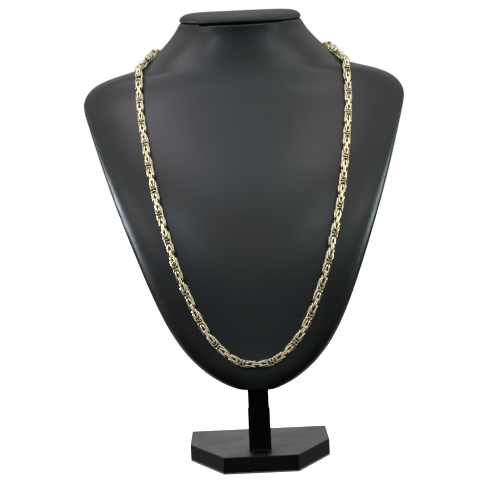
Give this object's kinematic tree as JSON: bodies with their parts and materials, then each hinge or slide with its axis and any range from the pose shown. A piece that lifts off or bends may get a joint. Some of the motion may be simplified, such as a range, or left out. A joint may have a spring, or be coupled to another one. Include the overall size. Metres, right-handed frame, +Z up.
{
  "type": "byzantine chain on a neck bust stand",
  "caption": "Woven byzantine neck chain laid round a leaning leatherette neck bust, carried by a post on a flat six-sided base.",
  "frame": {"origin": "centre of the whole object's footprint, on the surface that it stands on", "axes": "+X along the shoulders to the right as seen from the front, +Y from the front to the back, +Z up"},
  "size_m": [0.249, 0.1982, 0.3359],
  "materials": {
    "gold": "polished yellow gold",
    "leatherette": "matte black leatherette",
    "base_paint": "matte black painted board",
    "base_edge": "bare board edge",
    "post_paint": "black paint"
  },
  "bodies": {
    "root": {"base_sheet": "base_edge", "base_plate": "base_paint", "post_sleeve": "post_paint", "post": "post_paint", "bust": "leatherette", "neck_cap": "leatherette", "chain": "gold", "clasp": "gold"}
  },
  "joints": []
}
